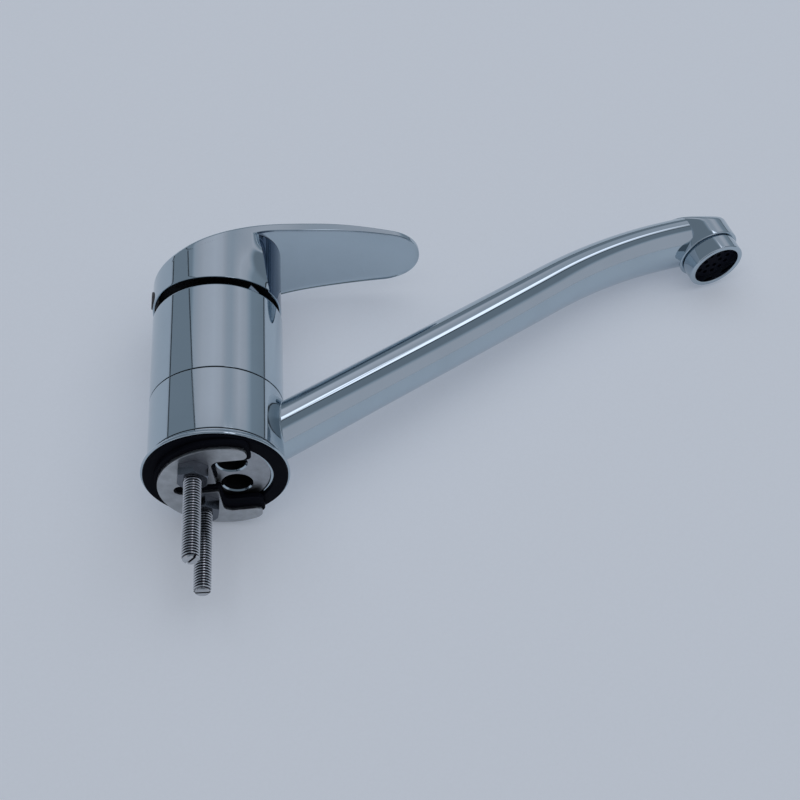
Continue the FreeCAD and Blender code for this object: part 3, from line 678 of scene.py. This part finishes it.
def planOutline():
    # half of the outline from the back round to the tip
    startX, endX, endY = lever.sides[0][0], *lever.sides[-1]
    points = [backArc(i / lever.backSteps) for i in range(lever.backSteps)]
    for i in range(lever.sideSteps):
        x = startX + (endX - startX) * i / lever.sideSteps
        points.append((x, sideLine(x)))
    poles = [Vector((endX, endY)), Vector((endX + lever.tipLead, endY + taper * lever.tipLead)),
             Vector((lever.length, lever.tipHalf)), Vector((lever.length, 0.0))]
    for i in range(lever.tipSteps + 1):
        t = i / lever.tipSteps
        p = (poles[0] * (1 - t) ** 3 + poles[1] * 3 * t * (1 - t) ** 2 + poles[2] * 3 * t * t * (1 - t)
             + poles[3] * t ** 3)
        points.append((p.x, max(p.y, 0.0)))
    points[0] = (-lever.radius, 0.0)
    return points


def spinePoint(x):
    # where the outline's point at x is drawn in to, on the middle line, in steps so that no face is a sliver
    first, last = lever.spine
    place = first + (x + lever.radius) * (last - first) / (lever.length + lever.radius)
    return round(2 * place) / 2


def bladeShape():
    # top and underside of the lever in rows, each drawn in from the outline to the spine
    half = planOutline()
    outline = half + [(x, -y) for x, y in half[-2:0:-1]]
    ease, roundSteps = lever.ease, 7
    rows = []
    for x, y in outline:
        edge = Vector((x, y, 0))
        inward = Vector((spinePoint(x), 0, 0)) - edge
        depth = inward.length
        unit = inward / depth
        rim = min(lever.rimWidth, depth * lever.rimShare)

        def onTop(distance):
            place = edge + unit * distance
            return Vector((place.x, place.y, topHeight(place.x, place.y)))

        def onUnder(distance):
            # the blade is a little hollow inside a rim that runs round its edge
            place = edge + unit * distance
            fall = 1 - max(1 - distance / rim, 0) ** 2
            hollow = lever.rimDepth * fall * blendShare(place.x, *lever.rimBlend)
            return Vector((place.x, place.y, underHeight(place.x, place.y) + hollow))

        topCorner, underCorner = onTop(0), onUnder(0)
        band = topCorner.z - underCorner.z
        lip = min(lever.lip, band * 0.3)
        row = [onUnder(depth * share) for share in lever.underShares]
        row.extend(onUnder(rim * share) for share in lever.rimShares)
        lipEnd = underCorner + Vector((0, 0, lip))
        row.extend(roundedPoint(onUnder(lip), underCorner, lipEnd, t) for t in lever.lipShares)
        lower, upper = topCorner - Vector((0, 0, min(ease * 0.8, band - lip * 1.1))), onTop(ease)
        row.append(row[-1].lerp(lower, 0.5))
        row.extend(roundedPoint(lower, topCorner, upper, k / roundSteps) for k in range(roundSteps + 1))
        row.append(onTop(ease + 0.5))
        row.extend(onTop(max(depth * tenths / 10, ease + 0.6)) for tenths in range(2, 11))
        rows.append(row)
    bm = loopShape([[row[k] for row in rows] for k in range(len(rows[0]))])
    bmesh.ops.remove_doubles(bm, verts=bm.verts[:], dist=mergeGap)
    return bm


def wallLine(x, z):
    # the skirt is round at its lower edge and grows into the blade's sides above
    share = blendShare(z, *lever.flare)
    return math.sqrt(lever.radius ** 2 - x * x) * (1 - share) + sideLine(x) * share


def skirtEdge(x):
    # height of the skirt's lower edge, which arches up in the middle
    sag = lever.high - lever.low
    radius = (lever.radius ** 2 + sag ** 2) / (2 * sag)
    return lever.low + radius - math.sqrt(radius ** 2 - x * x)


skirtCounts = (76, 4, 24)   # steps along half of its wall, its return face and its front arc


def skirtPlan(index, z):
    # plan place of a skirt point, from the back to the front
    wall, back, front = skirtCounts
    startX, creaseHere, frontRadius = lever.sides[0][0], creaseX(z), lever.frontRadius
    yInner = math.sqrt(frontRadius ** 2 - creaseHere ** 2)
    yOuter = wallLine(creaseHere, z)
    yOuter -= blendShare(z, *lever.tuck) * max(yOuter - yInner - 0.1, 0.0)
    if index <= wall:
        share, split = index / wall, lever.split
        if share < split:
            return backArc(share / split)
        x = startX + (creaseHere - startX) * (share - split) / (1 - split)
        tucked = max(x - lever.tuckFrom, 0.0) / (creaseHere - lever.tuckFrom)
        return x, wallLine(x, z) - (wallLine(creaseHere, z) - yOuter) * tucked ** 2
    if index <= wall + back:
        return creaseHere, yOuter + (yInner - yOuter) * (index - wall) / back
    angle = math.atan2(yInner, creaseHere) * (1 - (index - wall - back) / front)
    return frontRadius * math.cos(angle), frontRadius * math.sin(angle)


def skirtLoop(heightOf, inset=0.0, scale=1.0):
    # a loop round the skirt at heightOf(x, y, index), drawn in by inset and then scaled
    half = []
    for i in range(sum(skirtCounts) + 1):
        z = heightOf(*skirtPlan(i, lever.flare[0]), i)
        x, y = skirtPlan(i, z)
        k = scale * (1 - inset / math.hypot(x, y))
        half.append(Vector((x * k, y * k, heightOf(x, y, i))))
    half[0].y = half[-1].y = 0.0
    return half + [Vector((p.x, -p.y, p.z)) for p in half[-2:0:-1]]


def skirtShape():
    # from its ceiling down inside, round the lower edge and up outside into the blade
    steps, start = 12, lever.foot[-1][0]
    above, below, front = lever.sunk

    def upper(x, y, i):
        # the wall's top end stands inside the blade
        if i <= skirtCounts[0]:
            return min(underHeight(x, y) + above, topHeight(x, y) - below)
        return bladeHeight(x) + front

    def raised(amount):
        return lambda x, y, i: skirtEdge(x) + amount

    def capped(height, roof):
        return lambda x, y, i: min(height, topHeight(x, y) - roof)

    def outside(share):
        return lambda x, y, i: skirtEdge(x) + start + (upper(x, y, i) - skirtEdge(x) - start) * share

    loops = [skirtLoop(capped(height, roof), lever.wall, scale) for height, roof, scale in lever.dome]
    loops.extend(skirtLoop(raised(lift), inset) for lift, inset in lever.foot)
    loops.extend(skirtLoop(outside(k / steps)) for k in range(1, steps + 1))
    return loopShape(loops, capFirst=True)


boss = lathe([(0, lever.hubLow), (lever.hub, lever.hubLow), (lever.hub, lever.hubTop),
              (0, lever.hubTop)], steps=64, rounds={1: (0.5, 2)})
leverShape = joined([bladeShape(), skirtShape(), boss])
leverPiece = finishPiece(leverShape, "leverHandle", "lever", leverChrome, ["lever_handle"])
leverPiece.data.materials.append(bareShadedZinc)
leverPiece.data.materials.append(paintedShadeChrome)
for face in leverPiece.data.polygons:
    middle, facing = face.center / mm, face.normal
    reach, crease = middle.xy.length, creaseX(middle.z)
    outwards = facing.xy.dot(middle.xy)
    within = reach < lever.radius - 0.5 * lever.wall and middle.z < lever.bareTop
    onHub = reach < lever.hub + 0.1 and abs(facing.z) < 0.4
    # painted shade: the inward and downward faces inside the skirt, and the hub, get the near-black bare zinc
    bareAndShaded = within and middle.x < crease - 0.3 and (outwards < -0.2 * reach or facing.z < -0.5 or onHub)
    # painted shade: the skirt's front wall gets the dark blue chrome
    frontWall = middle.x > crease and reach < lever.frontRadius + 0.1 and outwards > 0.7 * reach
    face.material_index = 2 if frontWall else int(bareAndShaded)
print("lever done")

cover = Spec(bore=14.2, plug=18.7, low=62.6, lap=65.45, outer=20.6, edge=0.5, height=0.9, slope=2.5)
coverTop = cover.lap + cover.height
coverShape = lathe([(cover.bore, cover.low), (cover.plug, cover.low),
                    (cover.plug, cover.lap), (cover.outer, cover.lap),
                    (cover.outer, cover.lap + cover.edge),
                    (cover.bore + cover.slope, coverTop), (cover.bore, coverTop)],
                   steps=128, rounds={4: (0.2, 2)})
# the nut cover is painted black as shade in the gap under the lever
finishPiece(coverShape, "nutCover", "body", gapShadePlastic, ["nut_cover"])
finishPiece(fromNode("screw_cap"), "screwCap", "lever", capPlastic, ["screw_cap"])
print("cover done")


# fixings under the base

clamp = Spec(end=13.0, endRound=2.1, edge=0.16, rubberEnd=14.0, rubberRound=1.6, rubberEdge=0.2, nutEdge=0.2,
             upright=0.8, endSlack=0.1, close=1.25)


def roundedEnds(node, reach, size, edgeSize):
    # a horseshoe whose two arms end in a round instead of square
    bm = fromNode(node)
    flatten(bm)
    turn = math.radians(-body.turn)
    uprights, tips = [], []
    for edge in bm.edges:
        first, second = (vert.co for vert in edge.verts)
        ahead = first.x * math.cos(turn) - first.y * math.sin(turn)
        if (first.xy - second.xy).length < sameSpot and abs(first.z - second.z) > clamp.upright:
            (tips if abs(ahead - reach) < clamp.endSlack else uprights).append(edge)
    # the curved side's short faces next to a tip give way to its round
    gap = clamp.close * size
    close = [edge for edge in uprights
             if any((edge.verts[0].co.xy - tip.verts[0].co.xy).length < gap for tip in tips)]
    bmesh.ops.dissolve_edges(bm, edges=close, use_verts=True)
    easeEdges(bm, tips, size, 8)
    level = [e for e in hardEdges(bm, 50) if abs(e.verts[0].co.z - e.verts[1].co.z) < 0.01]
    easeEdges(bm, level, edgeSize, 2)
    return bm


steelShape = roundedEnds("steel_horseshoe", clamp.end, clamp.endRound, clamp.edge)
finishPiece(steelShape, "steelClamp", "body", plateSteel, ["steel_horseshoe"])
rubberShape = roundedEnds("rubber_horseshoe", clamp.rubberEnd, clamp.rubberRound, clamp.rubberEdge)
finishPiece(rubberShape, "rubberClampPad", "body", rubber, ["rubber_horseshoe"])
finishPiece(fromNode("stud_nuts", clamp.nutEdge), "studNuts", "body", nutSteel, ["stud_nuts"],
            smoothAngle=22.0)

stud = Spec(radius=2.98, root=2.42, pitch=1.0, flank=(0.12, 0.44), merge=0.004, tip=-37.5, top=11.6,
            chamfer=0.7, steps=28,
            shade=(2.5, 2.9), shadeColor=(0.03, 0.032, 0.04), tipZone=(0.5, 0.9), tipShare=0.8,
            threadTurns=(1.1, 3.4), slotTurns=(0.5, 1.4), slotSize=(0.8, 9.0, 2.2))


def shadeRoots(material):
    # painted shade: the thread's roots are painted dark, while its crests and the rod's end keep the plated
    # colour
    tree = material.node_tree
    target = tree.nodes["Principled BSDF"].inputs["Base Color"]
    plated = target.links[0].from_socket
    place = addNode(tree, "ShaderNodeTexCoord").outputs["Object"]
    flat = addNode(tree, "ShaderNodeVectorMath", {0: place, 1: (1, 1, 0)}, operation="MULTIPLY")
    reaches = []
    for side in sides:
        x, y = studPlace(side)
        inputs = {0: flat.outputs["Vector"], 1: (x * mm, y * mm, 0)}
        reaches.append(addNode(tree, "ShaderNodeVectorMath", inputs, operation="DISTANCE").outputs["Value"])
    crest = rising(worked("MINIMUM", *reaches), *(r * mm for r in stud.shade))
    height = addNode(tree, "ShaderNodeSeparateXYZ", {"Vector": place}).outputs["Z"]
    rodEnd = ranged(height, *((stud.tip + z) * mm for z in stud.tipZone), stud.tipShare, 0.0)
    bright = worked("MAXIMUM", crest, rodEnd)
    inputs = {0: bright, 6: (*stud.shadeColor, 1), 7: plated}
    join(addNode(tree, "ShaderNodeMix", inputs, data_type="RGBA").outputs[2], target)


shadeRoots(zincSteel)


def threadedRod():
    # one thread's outline swept up a helix, cut square at both ends
    bm = bmesh.new()
    pitch, crest, root = stud.pitch, stud.radius, stud.root
    low, high = stud.flank
    outline = [(root, 0.0), (root, low), (crest, high), (crest, 1 - high), (root, 1 - low), (root, 1.0)]
    line = [bm.verts.new((r, 0, share * pitch)) for r, share in outline]
    for first, second in zip(line, line[1:]):
        bm.edges.new((first, second))
    turns = math.ceil((stud.top - stud.tip) / pitch) + 3
    bmesh.ops.spin(bm, geom=bm.verts[:] + bm.edges[:], cent=origin, axis=zAxis,
                   dvec=(0, 0, pitch / stud.steps), angle=2 * math.pi * turns, steps=stud.steps * turns,
                   use_merge=False, use_duplicate=False)
    bmesh.ops.remove_doubles(bm, verts=bm.verts[:], dist=stud.merge)
    bmesh.ops.translate(bm, vec=(0, 0, stud.tip - 1.5 * pitch), verts=bm.verts[:])
    for height, normal in ((stud.tip, -zAxis), (stud.top, zAxis)):
        bmesh.ops.bisect_plane(bm, geom=bm.verts[:] + bm.edges[:] + bm.faces[:], dist=mergeGap,
                               plane_co=(0, 0, height), plane_no=normal, clear_outer=True)
    bmesh.ops.holes_fill(bm, edges=[e for e in bm.edges if e.is_boundary], sides=0)
    for vert in bm.verts:
        inner = stud.radius - stud.chamfer + (vert.co.z - stud.tip)
        reach = vert.co.xy.length
        if 0 < inner < reach:
            vert.co.x *= inner / reach
            vert.co.y *= inner / reach
    bmesh.ops.recalc_face_normals(bm, faces=bm.faces[:])
    return bm


def setAt(bm, turn, place):
    bmesh.ops.rotate(bm, cent=origin, matrix=Matrix.Rotation(turn, 3, "Z"), verts=bm.verts[:])
    bmesh.ops.translate(bm, vec=place, verts=bm.verts[:])
    return bm


for letter, side, rodTurn, slotTurn in zip("AB", sides, stud.threadTurns, stud.slotTurns):
    x, y = studPlace(side)
    rod = setAt(threadedRod(), rodTurn, (x, y, 0))
    piece = finishPiece(rod, "stud" + letter, "body", zincSteel, ["mounting_studs"],
                        smoothAngle=40.0)
    slot = bmesh.new()
    bmesh.ops.create_cube(slot, size=1.0)
    bmesh.ops.scale(slot, vec=stud.slotSize, verts=slot.verts[:])
    cutWith(piece, setAt(slot, slotTurn, (x, y, stud.tip)))
print("fixings done")


# CAD nodes that keep their own shape

kept = [(rubber, ["lower_spout_seal", "upper_spout_seal", "aerator_washer", "port_seals"]),
        (slipPlastic, ["lower_slip_ring", "upper_slip_ring"]), (insertPlastic, ["aerator_insert"]),
        (whitePlastic, ["cartridge_base", "cartridge_shell"]), (ceramic, ["fixed_disc", "moving_disc"]),
        (stemPlastic, ["disc_carrier", "cartridge_rotor"]), (plainSteel, ["pivot_pin", "handle_screw"]),
        (brass, ["cartridge_stem", "retaining_nut"])]
for material, names in kept:
    for name in names:
        nodes[name].data.materials.clear()
        nodes[name].data.materials.append(material)


# table; it can be seen from its front only, and glows a little so that the shadows stay light

table = Spec(color=(0.455, 0.497, 0.571), albedo=(0.60, 0.655, 0.75), glow=0.41, grain=900.0, shine=0.1,
             behind=25.3, lean=(-0.055, -0.018), size=6.0)
outward = Vector((table.lean[0], -1.0, table.lean[1])).normalized()
board = bmesh.new()
bmesh.ops.create_grid(board, x_segments=2, y_segments=2, size=table.size)
bmesh.ops.rotate(board, cent=origin, matrix=zAxis.rotation_difference(outward).to_matrix(),
                 verts=board.verts[:])
bmesh.ops.translate(board, vec=(0, table.behind * mm, 0), verts=board.verts[:])
tableTop = newObject("table", meshOf(board, "table"))
tableFinish, tree, shader = newFinish("tableTop", table.albedo, 0.8)
shader.inputs["Specular IOR Level"].default_value = table.shine
shader.inputs["Emission Color"].default_value = (*table.color, 1)
shader.inputs["Emission Strength"].default_value = table.glow
speckle = [(0.3, shaded(table.albedo, 0.99)), (0.7, shaded(table.albedo, 1.01))]
join(ramped(noiseOf(tree, table.grain, 4.0), speckle), shader.inputs["Base Color"])
behind = addNode(tree, "ShaderNodeNewGeometry").outputs["Backfacing"]
seeThrough = addNode(tree, "ShaderNodeBsdfTransparent").outputs["BSDF"]
mix = addNode(tree, "ShaderNodeMixShader", {"Fac": behind, 1: shader.outputs["BSDF"], 2: seeThrough})
join(mix.outputs["Shader"], tree.nodes["Material Output"].inputs["Surface"])
tableTop.data.materials.append(tableFinish)


# the room that the plate mirrors; bearings are from the camera's side and heights from the level, in degrees

room = Spec(tint=(1.0, 1.0, 1.1), darkTint=(1.03, 1.21, 1.42), tintShare=(0.25, 0.55),
            upper=[(-110, 0.24), (-52, 0.26), (-47, 0.42), (-30, 0.56), (-10, 0.62), (2, 0.58), (12, 0.44),
                   (20, 0.41), (34, 0.57), (46, 0.50), (58, 0.27), (82, 0.24), (110, 0.30)],
            high=(60.0, 70.0), highTone=0.2, middle=(30.0, 36.0), middleTone=0.2, low=(-14.0, -3.0),
            lowTone=0.5, down=(-62.0, -46.0), downTone=0.14, edge=-48.0, edgeSlant=3.5, edgeLevel=37.0,
            edgeSpan=(33.0, 42.0), edgeSoft=1.0, edgeTone=0.235, line=1.1, lineSoft=0.5, lineTone=0.04,
            window=(8.5, 24.0, 21.2, 33.6), windowSoft=(3.0, 1.2), windowTone=1.75, bar=(14.4, 16.4),
            barSoft=0.7, barTone=0.95, sill=(-12.0, 45.0, 16.8, 19.4), sillSoft=(3.0, 0.6),
            rim=(0.021, 0.035), rimFrom=(-2.0, 4.0))

world = bpy.data.worlds.new("room")
scene.world = world
world.use_nodes = True
tree = world.node_tree
tree.nodes.clear()


def between(value, low, high, soft):
    ends = rising(value, low - soft, low + soft), rising(value, high - soft, high + soft, 1.0, 0.0)
    return worked("MULTIPLY", *ends)


def blended(share, first, second):
    inputs = {"Factor": share, "A": first, "B": second}
    return addNode(tree, "ShaderNodeMix", inputs, data_type="FLOAT").outputs["Result"]


def panel(box, softSide, softEnd):
    left, right, bottom, top = box
    return worked("MULTIPLY", between(bearing, left, right, softSide), between(height, bottom, top, softEnd))


direction = addNode(tree, "ShaderNodeTexCoord").outputs["Generated"]
split = addNode(tree, "ShaderNodeSeparateXYZ", {"Vector": direction}).outputs
bearing = worked("ARCTAN2", split["X"], worked("MULTIPLY", split["Y"], -1.0))
bearing = worked("MULTIPLY", bearing, math.degrees(1))
height = worked("MULTIPLY", worked("ARCSINE", split["Z"]), math.degrees(1))
upper = ramped(worked("ADD", worked("DIVIDE", bearing, 360.0), 0.5),
               [(place / 360 + 0.5, (shade, shade, shade)) for place, shade in room.upper])

# a dark leaning edge at the left, with a line along it
clamped = worked("MINIMUM", worked("MAXIMUM", height, room.edgeSpan[0]), room.edgeSpan[1])
lean = worked("MULTIPLY", worked("SUBTRACT", clamped, room.edgeLevel), room.edgeSlant)
slanted = worked("ADD", bearing, lean)
soft, half = room.edgeSoft, room.line
tone = blended(rising(slanted, room.edge - soft, room.edge + soft), room.edgeTone, upper)
line = between(slanted, room.edge - half, room.edge + half, room.lineSoft)
tone = blended(line, tone, room.lineTone)

# bands by height, with the sill and the barred window among them
tone = blended(rising(height, *room.high), tone, room.highTone)
tone = blended(rising(height, *room.middle), room.middleTone, tone)
tone = blended(panel(room.sill, *room.sillSoft), tone, room.lineTone)
pane = blended(between(bearing, *room.bar, room.barSoft), room.windowTone, room.barTone)
tone = blended(panel(room.window, *room.windowSoft), tone, pane)
tone = blended(rising(height, *room.low), room.lowTone, tone)
tone = blended(rising(height, *room.down), room.downTone, tone)

# a dark line where the room meets the table
facing = addNode(tree, "ShaderNodeVectorMath", {0: direction, 1: outward}, operation="DOT_PRODUCT")
offTable = rising(facing.outputs["Value"], *room.rim)
below = rising(height, *room.rimFrom, 1.0, 0.0)
tone = blended(worked("MAXIMUM", offTable, below), room.lineTone, tone)

tintInputs = {"Factor": rising(tone, *room.tintShare), 4: room.darkTint, 5: room.tint}
tint = addNode(tree, "ShaderNodeMix", tintInputs, data_type="VECTOR").outputs[1]
tinted = addNode(tree, "ShaderNodeVectorMath", {0: tint, "Scale": tone}, operation="SCALE").outputs["Vector"]

# light: what the plate mirrors, what falls on the rest, and what the camera sees past the table

lights = Spec(world=0.18, worldColor=(0.97, 0.985, 1.0), key=13.6, keyColor=(1.0, 0.995, 0.985),
              keySize=(2.8, 2.4), keyPlace=(0.08, -1.55, 0.3), keyAim=(0.08, 0, 0.06))


def glow(color, strength=1.0):
    return addNode(tree, "ShaderNodeBackground", {"Color": color, "Strength": strength}).outputs["Background"]


def chosen(ray, otherwise, light):
    share = addNode(tree, "ShaderNodeLightPath").outputs[ray]
    return addNode(tree, "ShaderNodeMixShader", {"Fac": share, 1: otherwise, 2: light}).outputs["Shader"]


surface = chosen("Is Glossy Ray", glow((*lights.worldColor, 1), lights.world), glow(tinted))
surface = chosen("Is Camera Ray", surface, glow((*table.color, 1)))
addNode(tree, "ShaderNodeOutputWorld", {"Surface": surface})

keyLight = bpy.data.lights.new("window", "AREA")
keyLight.shape = "RECTANGLE"
keyLight.size, keyLight.size_y = lights.keySize
keyLight.energy = lights.key
keyLight.color = lights.keyColor
lamp = newObject("window", keyLight)
lamp.location = lights.keyPlace
lamp.rotation_euler = (Vector(lights.keyAim) - lamp.location).to_track_quat("-Z", "Y").to_euler()
lamp.visible_glossy = False


# camera, solved from the photograph: its place in millimetres and its three axes

view = Spec(place=(-29.94176672, -478.05166171, -312.25553811), lens=76.5, sensor=36.0,
            right=(0.98616151, -0.15808509, -0.04994573), down=(0.05206465, 0.58133255, -0.8119986),
            away=(0.15739995, 0.79816136, 0.58151844))
cameraData = bpy.data.cameras.new("camera")
cameraData.sensor_width = view.sensor
cameraData.lens = view.lens
cameraData.clip_start = 0.01
camera = newObject("camera", cameraData)
axes = Matrix((view.right, -Vector(view.down), -Vector(view.away))).transposed().to_4x4()
camera.matrix_world = Matrix.Translation(Vector(view.place) * mm) @ axes
scene.camera = camera
scene.view_settings.view_transform = "Standard"
print("stage done")
